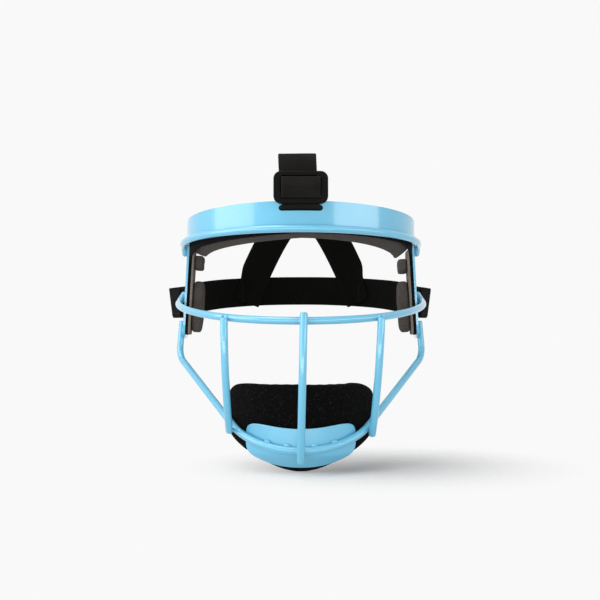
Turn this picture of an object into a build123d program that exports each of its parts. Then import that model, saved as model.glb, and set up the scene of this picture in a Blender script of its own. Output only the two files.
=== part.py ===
from build123d import *
import math
import os

# Softball fielder's face guard: a welded wire cage under a bent brow plate, foam pads that stick on with
# hook and loop, and an elastic harness that goes round and over the head.
# Millimetres. X points to the wearer's left, Y backwards into the head, Z up.
# The origin is the middle of the head space, level with the strap slots of the side plates.
# Every piece is modelled upright in the guard's own frame and leaned back when it is written.

# Stance and clearances
lean = 2.75
weld_gap = 0.05
soft_gap = 0.3
overrun = 20.0

# Brow plate: sheet bent round the forehead, its two ends running back beside the temples
sheet = 1.6
brow_reach = 85.0
brow_front_radius = 87.5
brow_front_turn = 45.0
brow_side_radius = 81.0
brow_side_turn = 42.0
arm_width = 37.387
plate_low = 41.0
plate_height = 20.8
plate_top_drop = 6.6
plate_corner = 7.0

# Crown slot in the brow plate
crown_slot_width = 29.4
crown_slot_height = 4.0
crown_slot_drop = 4.7

# Side plates: flat arms under the ends of the brow plate, splayed outwards, with an upright strap slot
arm_splay = 3.0
arm_length = 70.0
arm_corner = 11.0
arm_front_taper = 3.0
slot_width = 5.0
slot_height = 28.6
slot_back_bar = 6.0
slot_depth = 41.0

# Wires
wire_radius = 2.5
brow_wire_drop = 1.9
brow_wire_run = 0.5
brow_wire_fall = 1.5
brow_wire_bend = 12.0
brow_wire_dip = 30.0
brow_wire_end = 7.0
cheek_forward = 19.3
cheek_low = 18.2
cheek_front_radius = 80.5
cheek_front_turn = 50.0
cheek_weld_back = 4.9
cheek_weld_low = 43.2
cheek_weld_stand = 4.0
cheek_end_bend = 11.0
cheek_end_lift = 32.0
cheek_end_tuck = 13.0
cheek_end_run = 9.0
jaw_forward = 5.2
jaw_low = 101.9
jaw_front_radius = 52.5
jaw_bend_back = 5.1
jaw_bend_under = 17.4
jaw_bend_in = 1.7
jaw_bend = 16.0
jaw_end_tuck = 3.0
jaw_end_slope = 78.0
jaw_end_run = 19.0

# Upright bars, welded to the front of the cheek wire and of the jaw wire
bar_bow = 9.0
side_bar_half_width = 51.0
side_bar_foot_half_width = 47.6
center_bar_head = 6.0
side_bar_head = 2.0
center_bar_foot = 8.0
side_bar_foot = 4.5
bar_tip_round = 1.2
bar_head_stand = 0.45
bar_foot_stand = 0.1

# Chin plate: a bent strip behind the jaw wire, held by four tack welds
chin_radius = 55.0
chin_half_width = 36.7
chin_height = 23.2
chin_top_dip = 5.8
chin_fold_under = 3.7
chin_fold_radius = 4.0
chin_lip_in = 8.0
chin_lip_drop = 8.8
chin_foot_half_width = 31.0
chin_top_corner = 6.5
chin_low_corner = 13.0
chin_strip_turn = 46.0
tack_radius = 2.1
tack_length = 3.2
tack_gap = 0.4
inner_tack_spacing = 9.0
outer_tack_spacing = 22.0

# Hook strips between the steel and the foam
hook = 1.3
hook_margin = 3.0

# Brow pad
brow_pad_thickness = 13.0
brow_pad_under = 1.8
brow_pad_inset = 1.3
brow_pad_end_drop = 6.0
brow_pad_stations = 2
brow_pad_lip = 5.0
brow_pad_crown = 2.4
brow_pad_turn = 37.0

# Side pads: a foam liner with a temple cushion and a ribbed cheek cushion moulded on it
liner = 3.6
liner_front = 1.5
liner_width = 23.0
liner_top = 3.0
liner_length = 64.0
liner_corner = 5.0
temple_cushion_drop = 4.5
temple_cushion_length = 11.8
cheek_cushion_drop = 23.7
cheek_cushion_length = 38.3
temple_cushion_thickness = 5.8
cheek_cushion_thickness = 7.6
cushion_crown = 1.5
cushion_draw = 2.5
cushion_width = 19.0
cheek_ribs = 3
temple_ribs = 2

# Chin pad: a moulded cup of foam behind the chin plate
chin_pad_thickness = 10.5
chin_pad_over = 21.6
chin_pad_under = 3.2
chin_pad_turn = 66.0
chin_pad_curl = 9.0
chin_pad_crown = 1.6
chin_pad_half_width = 48.0
chin_pad_top_half_width = 38.0
chin_pad_foot_half_width = 26.0
chin_pad_waist_drop = 9.6
chin_pad_corner = 7.0

# Webbing and elastic
strap = 1.8
strap_width = 25.4

# Harness: its plane rises towards the back of the head
harness_rise = 7.7
harness_reach = 110.0
harness_back_radius = 84.0
harness_back_turn = 62.0
harness_side_clear = 1.6
harness_start = 1.2
v_foot_spread = 51.0
v_foot_height = 9.0
v_middle_spread = 28.5
v_middle_in = 11.1
v_middle_height = 56.0
v_top_spread = 7.0
v_top_in = 7.1
v_top_under = 4.5

# Folds of the elastic through the side slots, and the free tabs outside them
fold_end_over = 0.8
tab_turn = 22.0
tab_length = 42.0
tab_bend = 9.0
tab_hook_length = 26.0
tab_hook_inset = 4.0

# Crown strap and its anchor through the crown slot
crown_fold_over = 32.4
crown_fold_radius = 6.0
crown_back_run = 75.0
crown_back_over = 1.6
crown_mid_in = 84.4
crown_mid_over = 2.1
crown_end_in = 57.4
crown_end_under = 8.9
crown_bend = 90.0
crown_kink = 3.0
crown_lean_in = 6.0

# Tri-glide buckle
glide_width = 36.0
glide_height = 21.4
glide_thickness = 3.6
glide_bar = 3.1
glide_center_bar = 3.4
glide_center_thickness = 1.8
glide_corner = 5.0
glide_round = 0.9
glide_height_over_slot = 12.7
bight_bulge = 5.4


def backwards(rise):
    """Way straight back along a slope."""
    return Vector(0, math.cos(math.radians(rise)), math.sin(math.radians(rise)))


def heading(turn, rise=0.0):
    """Way a wire points after turning from +X towards the back, in a plane that rises backwards."""
    return Vector(math.cos(math.radians(turn)), 0, 0) + backwards(rise) * math.sin(math.radians(turn))


def inwards(turn, rise):
    """Way to the centre of a wire's bend after the same turn."""
    return backwards(rise) * math.cos(math.radians(turn)) - Vector(math.sin(math.radians(turn)), 0, 0)


def bent_path(start, way, bends, last_run):
    """Centre line of a wire as a bender makes it: each bend is a straight feed, a radius and the new way."""
    edges = []
    at = start
    for feed, radius, new_way in bends:
        if feed > 0:
            edges.append(Line(at, at + way * feed))
            at = at + way * feed
        turn = math.radians(way.get_angle(new_way))
        spoke = (new_way - way * way.dot(new_way)).normalized() * radius
        points = [at + spoke + way * radius * math.sin(a) - spoke * math.cos(a) for a in (turn / 2, turn)]
        edges.append(ThreePointArc(at, *points))
        at = points[1]
        way = new_way
    if last_run > 0:
        edges.append(Line(at, at + way * last_run))
    return edges


def round_wire(edges):
    """Round bar along a path."""
    start = edges[0]
    section = Plane(origin=start @ 0, z_dir=start % 0) * Circle(wire_radius)
    return sweep(section, path=Wire([edge.edge() for edge in edges]))


def both_sides(half):
    """A half piece and its mirror image, as one."""
    return half + mirror(half, about=Plane.YZ)


def arch_half(offset, back):
    """Left half of the brow arch seen from above, a distance outside the brow plate's outer face."""
    front = JernArc((0, -brow_reach - offset), (1, 0), brow_front_radius + offset, brow_front_turn)
    side = JernArc(front @ 1, front % 1, brow_side_radius + offset, brow_side_turn)
    run = (back - (side @ 1).Y) / (side % 1).Y
    if run <= 0:
        return [front, side]
    return [front, side, Line(side @ 1, side @ 1 + (side % 1) * run)]


def brow_band(outside, inside, back, low, high):
    """Strip round the brow between two offsets from the plate's outer face."""
    outer = arch_half(outside, back)
    inner = arch_half(inside, back)
    ends = [Line(outer[0] @ 0, inner[0] @ 0), Line(outer[-1] @ 1, inner[-1] @ 1)]
    half = extrude(Pos(0, 0, low) * make_face(outer + inner + ends), high - low)
    return both_sides(half)


arm_corner_point = arch_half(0, 0)[1] @ 1
arm_way = arch_half(0, 0)[1] % 1
arm_out = Vector(arm_way.Y, -arm_way.X, 0)
arm_normal = arm_out * math.cos(math.radians(arm_splay)) + Vector(0, 0, math.sin(math.radians(arm_splay)))
plate_top = plate_low + plate_height
plate_back = arm_corner_point.Y + arm_width * arm_way.Y
arm_plane = Plane(
    origin=(arm_corner_point.X, arm_corner_point.Y, plate_low),
    x_dir=(arm_way.X, arm_way.Y, 0),
    z_dir=arm_normal,
)
slot_center = arm_width - slot_back_bar - slot_width / 2
slot_point = arm_plane.from_local_coords((slot_center, -slot_depth, -sheet / 2))


def rise_to(reach, low, target):
    """Slope of the plane through the front of a wire and the point where it comes to the side plate."""
    return math.degrees(math.atan2(target.Z + low, target.Y + reach))


cheek_reach = brow_reach + cheek_forward
cheek_target = arm_plane.from_local_coords((cheek_weld_back, -cheek_weld_low, cheek_weld_stand))
cheek_rise = rise_to(cheek_reach, cheek_low, cheek_target)
jaw_reach = brow_reach + jaw_forward
jaw_target = arm_plane.from_local_coords((jaw_bend_back, -arm_length - jaw_bend_under, -jaw_bend_in))
jaw_rise = rise_to(jaw_reach, jaw_low, jaw_target)


def make_brow_plate():
    """Bent strip, lower towards its rounded ends, with the crown strap's slot."""
    blank = brow_band(0, -sheet, plate_back, plate_low, plate_top)
    outline = make_face(
        Polyline(
            (-brow_reach - overrun, plate_low),
            (plate_back, plate_low),
            (plate_back, plate_top - plate_top_drop),
            (-brow_reach, plate_top),
            (-brow_reach - overrun, plate_top),
            close=True,
        )
    )
    corner = outline.vertices().sort_by(Axis.X)[-2:].sort_by(Axis.Y)[-1]
    outline = fillet(corner, plate_corner)
    side_view = extrude(Plane.YZ * outline, brow_reach + overrun, both=True)
    slot = extrude(Plane.XZ * SlotOverall(crown_slot_width, crown_slot_height), sheet + overrun, both=True)
    return blank & side_view - Pos(0, -brow_reach, plate_top - crown_slot_drop) * slot


def make_side_plate():
    """Left side plate: a flat arm with rounded lower corners and an upright slot."""
    outline = make_face(
        Polyline(
            (0, 0),
            (arm_width, 0),
            (arm_width, -arm_length),
            (arm_front_taper, -arm_length),
            close=True,
        )
    )
    outline = fillet(outline.vertices().sort_by(Axis.Y)[:2], arm_corner)
    slot = Pos(slot_center, -slot_depth) * Rot(0, 0, 90) * SlotOverall(slot_height, slot_width)
    return extrude(arm_plane * (outline - slot), -sheet)


def make_brow_wire(side_plate):
    """Wire round the lower edge of the brow plate, its ends dipping onto the side plates."""
    offset = wire_radius + weld_gap
    height = plate_low + brow_wire_drop
    start = Vector(0, -brow_reach - offset, height)
    side_way = heading(brow_front_turn + brow_side_turn, -brow_wire_fall)
    dip = math.radians(brow_wire_dip)
    end_way = heading(brow_front_turn + brow_side_turn) * math.cos(dip) - Vector(0, 0, math.sin(dip))
    bends = [
        (0, brow_front_radius + offset, heading(brow_front_turn, -brow_wire_fall)),
        (0, brow_side_radius + offset, side_way),
        (brow_wire_run, brow_wire_bend, end_way),
    ]
    half = round_wire(bent_path(start, heading(0), bends, brow_wire_end))
    return both_sides(half - side_plate)


def make_cheek_wire(side_plate):
    """Wire across the cheeks, its ends curling up and in to the side plates."""
    start = Vector(0, -cheek_reach, -cheek_low)
    across = inwards(cheek_front_turn, cheek_rise) * cheek_front_radius
    front_end = start + backwards(cheek_rise) * cheek_front_radius - across
    chord = cheek_target - front_end
    half_turn = heading(cheek_front_turn, cheek_rise).get_angle(chord)
    side_radius = chord.length / 2 / math.sin(math.radians(half_turn))
    tuck = math.radians(cheek_end_tuck)
    lift = math.radians(cheek_end_lift)
    end_way = Vector(-math.sin(tuck) * math.cos(lift), math.cos(tuck) * math.cos(lift), math.sin(lift))
    bends = [
        (0, cheek_front_radius, heading(cheek_front_turn, cheek_rise)),
        (0, side_radius, heading(cheek_front_turn + 2 * half_turn, cheek_rise)),
        (0, cheek_end_bend, end_way),
    ]
    half = round_wire(bent_path(start, heading(0), bends, cheek_end_run))
    return both_sides(half - side_plate)


def make_jaw_wire(side_plate):
    """Wire round the chin, rising straight along the jaw and bent upright beside the side plates."""
    start = Vector(0, -jaw_reach, -jaw_low)
    past_centre = math.hypot(jaw_target.Y + jaw_reach, jaw_target.Z + jaw_low) - jaw_front_radius
    away = math.hypot(jaw_target.X, past_centre)
    side_run = math.sqrt(away**2 - jaw_front_radius**2)
    front_turn = math.degrees(math.atan2(jaw_target.X, -past_centre) - math.atan2(side_run, jaw_front_radius))
    slope = math.radians(jaw_end_slope)
    tuck = math.radians(jaw_end_tuck)
    end_way = Vector(-math.sin(tuck), math.cos(slope) * math.cos(tuck), math.sin(slope) * math.cos(tuck))
    bends = [
        (0, jaw_front_radius, heading(front_turn, jaw_rise)),
        (side_run, jaw_bend, end_way),
    ]
    half = round_wire(bent_path(start, heading(0), bends, jaw_end_run))
    return both_sides(half - side_plate)


def beside_wire(reach, low, rise, radius, half_width, outside):
    """Point a distance outside a wire's front bend, at a distance from the guard's middle plane."""
    turn = math.degrees(math.asin(half_width / (radius + outside)))
    centre = Vector(0, -reach, -low) + backwards(rise) * radius
    return centre - inwards(turn, rise) * (radius + outside)


def make_bar(head_half_width, foot_half_width, head, foot):
    """Upright bar, bowed forwards between its welds on the front of the cheek wire and of the jaw wire."""
    over_cheek = 2 * wire_radius + bar_head_stand
    over_jaw = 2 * wire_radius + bar_foot_stand
    upper = beside_wire(cheek_reach, cheek_low, cheek_rise, cheek_front_radius, head_half_width, over_cheek)
    lower = beside_wire(jaw_reach, jaw_low, jaw_rise, jaw_front_radius, foot_half_width, over_jaw)
    middle = (upper + lower) / 2 - Vector(0, bar_bow, 0)
    bow = ThreePointArc(upper, middle, lower)
    top = Line(upper - (bow % 0) * head, upper)
    bottom = Line(lower, lower + (bow % 1) * foot)
    bar = round_wire([top, bow, bottom])
    tips = bar.edges().filter_by(GeomType.CIRCLE).filter_by(lambda e: abs(e.radius - wire_radius) < weld_gap)
    return fillet([tips.sort_by(Axis.Z)[0], tips.sort_by(Axis.Z)[-1]], bar_tip_round)


chin_fold = jaw_low + chin_fold_under
chin_top = chin_fold - chin_height
chin_low = chin_fold + chin_lip_drop
chin_axis_y = -jaw_reach + wire_radius + weld_gap + chin_radius
chin_axis = Axis((0, chin_axis_y, 0), (0, 0, 1))


def revolve_about_chin(section, turn):
    """Turn a section, drawn as distance from the chin's axis and height, both ways from the front."""
    face = Plane(origin=(0, chin_axis_y, 0), x_dir=(0, -1, 0), z_dir=(-1, 0, 0)) * section
    return both_sides(revolve(face, chin_axis, turn))


def make_chin_plate():
    """Strip bent round the chin, folded in along its lower edge, with a lobe at each upper corner."""
    bend = FilletPolyline(
        (chin_radius, -chin_top + overrun),
        (chin_radius, -chin_fold),
        (chin_radius - chin_lip_in, -chin_low),
        radius=chin_fold_radius,
    )
    section = make_face(offset(bend, amount=sheet, side=Side.RIGHT).edges())
    strip = revolve_about_chin(section, chin_strip_turn)
    outline = [
        ThreePointArc(
            (-chin_half_width, -chin_top),
            (0, -chin_top - chin_top_dip),
            (chin_half_width, -chin_top),
        ),
        Line((chin_half_width, -chin_top), (chin_half_width, -(chin_top + chin_fold) / 2)),
        Line((chin_half_width, -(chin_top + chin_fold) / 2), (chin_foot_half_width, -chin_low)),
        Line((chin_foot_half_width, -chin_low), (-chin_foot_half_width, -chin_low)),
        Line((-chin_foot_half_width, -chin_low), (-chin_half_width, -(chin_top + chin_fold) / 2)),
        Line((-chin_half_width, -(chin_top + chin_fold) / 2), (-chin_half_width, -chin_top)),
    ]
    face = make_face(outline)
    face = fillet(face.vertices().sort_by(Axis.Y)[-2:], chin_top_corner)
    face = fillet(face.vertices().sort_by(Axis.Y)[:2], chin_low_corner)
    front_view = extrude(Plane.XZ * face, brow_reach + overrun)
    return strip & front_view


def make_chin_tacks():
    """Four beads of weld in the groove over the jaw wire, on the chin plate's face."""
    tacks = Part()
    lift = wire_radius + tack_radius + tack_gap
    for spacing in (inner_tack_spacing, outer_tack_spacing):
        at = beside_wire(jaw_reach, jaw_low, jaw_rise, jaw_front_radius, spacing, 0)
        turn = math.degrees(math.asin(spacing / chin_radius))
        seat = Vector(0, chin_axis_y, at.Z + lift) - inwards(turn, 0) * (chin_radius + weld_gap)
        outwards = Plane(origin=seat, z_dir=-inwards(turn, 0))
        bead = outwards * Cylinder(tack_radius, tack_length, align=(Align.CENTER, Align.CENTER, Align.MIN))
        tacks += bead + mirror(bead, about=Plane.YZ)
    return tacks


def brow_pad_section(fall):
    """Section of the brow pad, as distance inwards from the hook strip and height, dropped by a fall."""
    low = plate_low - brow_pad_under - fall
    high = plate_top - brow_pad_inset - fall
    inner = brow_pad_thickness
    edge = brow_pad_crown
    return make_face(
        [
            Line((0, low + brow_pad_lip), (0, high)),
            ThreePointArc((0, high), (inner / 2, high + edge / 2), (inner - edge, high - edge)),
            ThreePointArc((inner - edge, high - edge), (inner, (high + low) / 2), (inner - edge, low)),
            ThreePointArc((inner - edge, low), ((inner - edge) / 2, low + edge / 2), (0, low + brow_pad_lip)),
        ]
    )


def make_brow_pad(strap_pocket):
    """Crowned foam strip round the forehead, falling towards its ends, its inner edge hanging lowest."""
    inset = sheet + hook
    front = JernArc((0, -brow_reach + inset), (1, 0), brow_front_radius - inset, brow_front_turn)
    side = JernArc(front @ 1, front % 1, brow_side_radius - inset, brow_pad_turn)
    path = Wire([front.edge(), side.edge()])
    sections = []
    for station in range(brow_pad_stations + 1):
        share = station / brow_pad_stations
        way = path % share
        place = Plane(origin=path @ share, x_dir=(-way.Y, way.X, 0), z_dir=way)
        sections.append(place * brow_pad_section(brow_pad_end_drop * share))
    half = sweep(sections=sections, path=path, multisection=True)
    return both_sides(half) - strap_pocket


def make_brow_hook(strap_pocket):
    """Hook strip between the brow plate and the brow pad."""
    low = plate_low + hook_margin
    high = plate_top - plate_top_drop - hook_margin / 2
    strip = brow_band(-sheet, -sheet - hook, arm_corner_point.Y - hook_margin, low, high)
    return strip - strap_pocket


def inside_arm(depth):
    """Plane on the inside of the left side plate, a depth from its outer face, facing the head."""
    origin = arm_plane.from_local_coords((liner_front + liner_width / 2, 0, -depth))
    return Plane(origin=origin, x_dir=-arm_plane.x_dir, z_dir=-arm_plane.z_dir)


def make_side_hook():
    """Hook strip on the inside of the left side plate."""
    width = liner_width - hook_margin
    length = liner_length - 2 * hook_margin
    middle = -liner_top - liner_length / 2
    return extrude(inside_arm(sheet) * Pos(0, middle) * Rectangle(width, length), hook)


def make_side_liner():
    """Foam liner of the left side pad."""
    middle = -liner_top - liner_length / 2
    face = RectangleRounded(liner_width, liner_length, liner_corner)
    return extrude(inside_arm(sheet + hook) * Pos(0, middle) * face, liner)


def ribbed_cushion(length, thickness, ribs):
    """Foam cushion with a flat back, upright crowned ribs with channels between them and drawn-in ends."""
    wall = thickness - cushion_crown
    half = cushion_width / 2
    end = length / 2
    pitch = cushion_width / ribs
    across = [Line((-half, wall), (-half, 0)), Line((-half, 0), (half, 0)), Line((half, 0), (half, wall))]
    for rib in range(ribs):
        left = -half + rib * pitch
        across.append(
            ThreePointArc((left, wall), (left + pitch / 2, thickness), (left + pitch, wall))
        )
    ribbed = extrude(Plane.XZ * make_face(across), end, both=True)
    drawn = make_face(
        Polyline(
            (-end, 0),
            (end, 0),
            (end, wall - cushion_draw),
            (end - cushion_crown - cushion_draw, thickness),
            (end - cushion_crown - cushion_draw, thickness + overrun),
            (-end + cushion_crown + cushion_draw, thickness + overrun),
            (-end + cushion_crown + cushion_draw, thickness),
            (-end, wall - cushion_draw),
            close=True,
        )
    )
    return ribbed & extrude(Plane.YZ * drawn, cushion_width, both=True)


def make_side_cushion(drop, length, thickness, ribs):
    """Cushion on the left liner, its upper end a drop below the liner's top."""
    place = inside_arm(sheet + hook + liner)
    return place * Pos(0, -liner_top - drop - length / 2) * ribbed_cushion(length, thickness, ribs)


chin_pad_top = chin_top - chin_pad_over
chin_pad_low = chin_low + chin_pad_under
chin_pad_waist = chin_top + chin_pad_waist_drop


def make_chin_pad():
    """Moulded foam cup behind the chin plate, curling in under the chin."""
    outer = chin_radius - sheet - hook - soft_gap
    inner = outer - chin_pad_thickness
    slope = (chin_low - chin_fold) / chin_lip_in
    lift = (sheet + soft_gap) * math.hypot(1, slope)
    seat = -chin_fold - (chin_radius - outer) * slope + lift
    rim = chin_radius - chin_lip_in - sheet - soft_gap
    rim_height = -chin_fold - (chin_radius - rim) * slope + lift
    toe = rim - chin_pad_curl
    section = make_face(
        [
            Line((outer, -chin_pad_top + overrun), (outer, seat)),
            Line((outer, seat), (rim, rim_height)),
            ThreePointArc(
                (rim, rim_height),
                ((rim + toe) / 2, -chin_pad_low),
                (toe, rim_height),
            ),
            ThreePointArc(
                (toe, rim_height),
                ((toe + inner) / 2 - chin_pad_crown, (rim_height + seat) / 2),
                (inner, seat + chin_pad_curl),
            ),
            Line((inner, seat + chin_pad_curl), (inner, -chin_pad_top + overrun)),
            Line((inner, -chin_pad_top + overrun), (outer, -chin_pad_top + overrun)),
        ]
    )
    cup = revolve_about_chin(section, chin_pad_turn)
    outline = Polyline(
        (chin_pad_top_half_width, -chin_pad_top),
        (chin_pad_half_width, -chin_pad_top - chin_pad_corner),
        (chin_pad_half_width, -chin_pad_waist),
        (chin_pad_foot_half_width, -chin_pad_low),
        (-chin_pad_foot_half_width, -chin_pad_low),
        (-chin_pad_half_width, -chin_pad_waist),
        (-chin_pad_half_width, -chin_pad_top - chin_pad_corner),
        (-chin_pad_top_half_width, -chin_pad_top),
        close=True,
    )
    face = make_face(outline)
    face = fillet(face.vertices(), chin_pad_corner)
    return cup & extrude(Plane.XZ * face, brow_reach + overrun)


def make_chin_hook():
    """Hook strip between the chin plate and the chin pad."""
    outer = chin_radius - sheet
    section = Pos(outer - hook / 2, -(chin_top + chin_top_dip + chin_fold) / 2) * Rectangle(
        hook, chin_fold - chin_top - chin_top_dip - hook_margin
    )
    turn = math.degrees(math.asin((chin_half_width - hook_margin) / chin_radius))
    return revolve_about_chin(section, turn)


def band(path, thickness, width, plane, side=Side.LEFT):
    """Flat strap: a path drawn in a plane, given its thickness to one side and its width both ways."""
    section = make_face(offset(path, amount=thickness, side=side).edges())
    return extrude(plane * section, width / 2, both=True)


crown_fold_height = plate_top + crown_fold_over
crown_end_height = crown_fold_height - crown_end_under
crown_end_back = slot_point.Y + harness_reach - crown_end_in
harness_end_x = arm_plane.from_local_coords((arm_width, -slot_depth, -sheet)).X - harness_side_clear
harness_side_radius = (
    (harness_end_x - harness_back_radius * math.sin(math.radians(harness_back_turn)))
    / (math.sin(math.radians(brow_front_turn + brow_side_turn)) - math.sin(math.radians(harness_back_turn)))
)
harness_plane = Plane(
    origin=(0, slot_point.Y, slot_point.Z),
    x_dir=(1, 0, 0),
    z_dir=(0, -math.sin(math.radians(harness_rise)), math.cos(math.radians(harness_rise))),
)


def harness_line(inset):
    """Left half of the elastic's outer face, from the back of the head forwards to the side plate."""
    start_turn = 180 - brow_front_turn - brow_side_turn
    back = JernArc((0, harness_reach - inset), (1, 0), harness_back_radius - inset, -harness_back_turn)
    side = JernArc(back @ 1, back % 1, harness_side_radius - inset, harness_back_turn - start_turn)
    run = (side @ 1).Y - (plate_back - slot_point.Y) - harness_start
    if run <= 0:
        return [back, side]
    return [back, side, Line(side @ 1, side @ 1 + (side % 1) * run)]


def make_back_strap():
    """Elastic round the back of the head, from one side plate to the other."""
    outer = harness_line(0)
    inner = harness_line(strap)
    ends = [Line(outer[0] @ 0, inner[0] @ 0), Line(outer[-1] @ 1, inner[-1] @ 1)]
    half = extrude(harness_plane * make_face(outer + inner + ends), strap_width / 2, both=True)
    front = Pos(0, plate_back + harness_start) * Box(
        2 * harness_reach, brow_reach, 2 * strap_width, align=(Align.CENTER, Align.MAX, Align.CENTER)
    )
    return both_sides(half - front)


def make_v_strap(crown_space):
    """Left V strap, from the inside of the elastic up to the crown strap."""
    inner_radius = harness_back_radius - strap
    foot_run = harness_reach - harness_back_radius + math.sqrt(inner_radius**2 - v_foot_spread**2)
    foot_back = slot_point.Y + foot_run * math.cos(math.radians(harness_rise))
    foot = Vector(v_foot_spread, foot_back, slot_point.Z + v_foot_height)
    middle = Vector(v_middle_spread, foot_back - v_middle_in, slot_point.Z + v_middle_height)
    top = Vector(v_top_spread, crown_end_back - v_top_in, crown_end_height - v_top_under)
    bow = ThreePointArc(foot, middle, top)
    across = (middle - foot).cross(top - foot).normalized()
    start = Line(foot - (bow % 0) * strap_width / 2, foot)
    section_plane = Plane(origin=foot, x_dir=bow % 0, z_dir=across)
    path = [section_plane.to_local_coords(edge) for edge in (start, bow)]
    side_view = make_face(offset(Wire([line.edge() for line in path]), amount=strap, side=Side.LEFT).edges())
    piece = extrude(section_plane * side_view, strap_width / 2, both=True)
    inner = harness_line(strap + weld_gap)
    room_edges = inner + [
        Line(inner[-1] @ 1, (0, (inner[-1] @ 1).Y)),
        Line((0, (inner[-1] @ 1).Y), inner[0] @ 0),
    ]
    room = extrude(harness_plane * make_face(room_edges), crown_fold_height + overrun, both=True)
    foot_cut = harness_plane * Pos(0, 0, -strap_width) * Box(
        2 * brow_reach, 2 * harness_reach + overrun, strap_width
    )
    return (piece & room) - crown_space - foot_cut


def make_slot_fold():
    """Turn of the elastic through the left slot and round the bar behind it."""
    inner = sheet / 2 + soft_gap
    outer = inner + strap
    bar_front = arm_width - slot_back_bar
    end = arm_width + fold_end_over
    face = make_face(
        [
            Line((end, inner), (bar_front, inner)),
            ThreePointArc((bar_front, inner), (bar_front - inner, 0), (bar_front, -inner)),
            Line((bar_front, -inner), (end, -inner)),
            Line((end, -inner), (end, -outer)),
            Line((end, -outer), (bar_front, -outer)),
            ThreePointArc((bar_front, -outer), (bar_front - outer, 0), (bar_front, outer)),
            Line((bar_front, outer), (end, outer)),
            Line((end, outer), (end, inner)),
        ]
    )
    plane = Plane(
        origin=arm_plane.from_local_coords((0, -slot_depth, -sheet / 2)),
        x_dir=arm_plane.x_dir,
        z_dir=-arm_plane.y_dir,
    )
    return extrude(plane * face, strap_width / 2, both=True)


def tab_plane():
    """Plane of the left tab's side view, its origin on the tab's hinge line."""
    hinge = arm_width + fold_end_over + soft_gap + strap / 2
    origin = arm_plane.from_local_coords((hinge, -slot_depth, soft_gap + strap / 2))
    return Plane(origin=origin, x_dir=arm_plane.x_dir, z_dir=-arm_plane.y_dir)


def tab_path():
    """Middle line of the tab, in the tab's plane."""
    start = JernArc((0, 0), (1, 0), tab_bend, tab_turn)
    return [start, Line(start @ 1, start @ 1 + (start % 1) * tab_length)]


def make_strap_tab():
    """Free end of the elastic outside the left side plate, rounded where it turns on the fold."""
    start, run = tab_path()
    path = Wire([start.edge(), run.edge()])
    half = strap / 2
    face = make_face(offset(path, amount=half, side=Side.LEFT).edges())
    face += make_face(offset(path, amount=half, side=Side.RIGHT).edges())
    face += Circle(half)
    return extrude(tab_plane() * face, strap_width / 2, both=True)


def make_tab_hook():
    """Hook patch on the inside of the tab's free end."""
    run = tab_path()[1]
    way = run % 1
    inwards = Vector(way.Y, -way.X, 0)
    middle = run @ 1 - way * (tab_hook_inset + tab_hook_length / 2) + inwards * (strap / 2 + hook / 2)
    flat = Plane(origin=middle, x_dir=way, z_dir=(0, 0, 1)) * Rectangle(tab_hook_length, hook)
    return extrude(tab_plane() * flat, strap_width / 2 - hook_margin / 2, both=True)


plate_inner_radius = brow_front_radius - sheet
plate_hollow = plate_inner_radius - math.sqrt(plate_inner_radius**2 - (strap_width / 2) ** 2)
crown_back_face = -brow_reach + sheet + soft_gap + plate_hollow
crown_front_face = -brow_reach - weld_gap
slot_middle = plate_top - crown_slot_drop


def crown_line():
    """Inner line of the crown strap, from behind the crown slot up to the fold and back over the head."""
    return FilletPolyline(
        (crown_back_face + strap, slot_middle + strap / 2 + soft_gap),
        (crown_back_face + strap, plate_top + crown_kink),
        (crown_front_face + strap + soft_gap, plate_top + crown_kink + crown_lean_in),
        (crown_front_face + strap + soft_gap, crown_fold_height - strap),
        (crown_back_run - brow_reach, crown_fold_height + crown_back_over),
        (slot_point.Y + harness_reach - crown_mid_in, crown_fold_height + crown_mid_over),
        (crown_end_back, crown_end_height),
        radius=(crown_kink, crown_kink, crown_fold_radius, crown_bend, crown_bend / 2),
    )


def make_crown_strap():
    """Webbing over the crown of the head."""
    return band(crown_line(), strap, strap_width, Plane.YZ, side=Side.LEFT)


def make_crown_space():
    """Room over the crown strap's inner face, out of which the V straps are kept."""
    line = band(crown_line(), harness_reach, 2 * strap_width, Plane.YZ, side=Side.LEFT)
    gap = band(crown_line(), weld_gap, 2 * strap_width, Plane.YZ, side=Side.RIGHT)
    return line + gap


def make_anchor_strap():
    """Front layer of the webbing, through the crown slot and up behind the buckle."""
    path = FilletPolyline(
        (crown_back_face + strap, slot_middle + strap / 2),
        (crown_front_face - soft_gap, slot_middle + strap / 2),
        (crown_front_face - soft_gap, slot_middle + glide_height_over_slot),
        radius=soft_gap,
    )
    return band(path, strap, strap_width, Plane.YZ, side=Side.LEFT)


glide_back = crown_front_face - strap - 2 * soft_gap
glide_window = glide_height - 2 * glide_bar
glide_middle = slot_middle + glide_height_over_slot


def make_tri_glide():
    """Moulded buckle: a rounded frame with a thinner middle bar at its back."""
    inside = strap_width + 2 * soft_gap
    ring = RectangleRounded(glide_width, glide_height, glide_corner) - RectangleRounded(
        inside, glide_window, glide_round
    )
    frame_solid = extrude(ring, glide_thickness)
    rims = frame_solid.faces().sort_by(Axis.Z)[-1].edges()
    frame_solid = fillet(rims, glide_round)
    bar = Box(
        inside,
        glide_center_bar,
        glide_center_thickness,
        align=(Align.CENTER, Align.CENTER, Align.MIN),
    )
    place = Plane(origin=(0, glide_back, glide_middle), x_dir=(1, 0, 0), z_dir=(0, -1, 0))
    return place * (frame_solid + bar)


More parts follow.
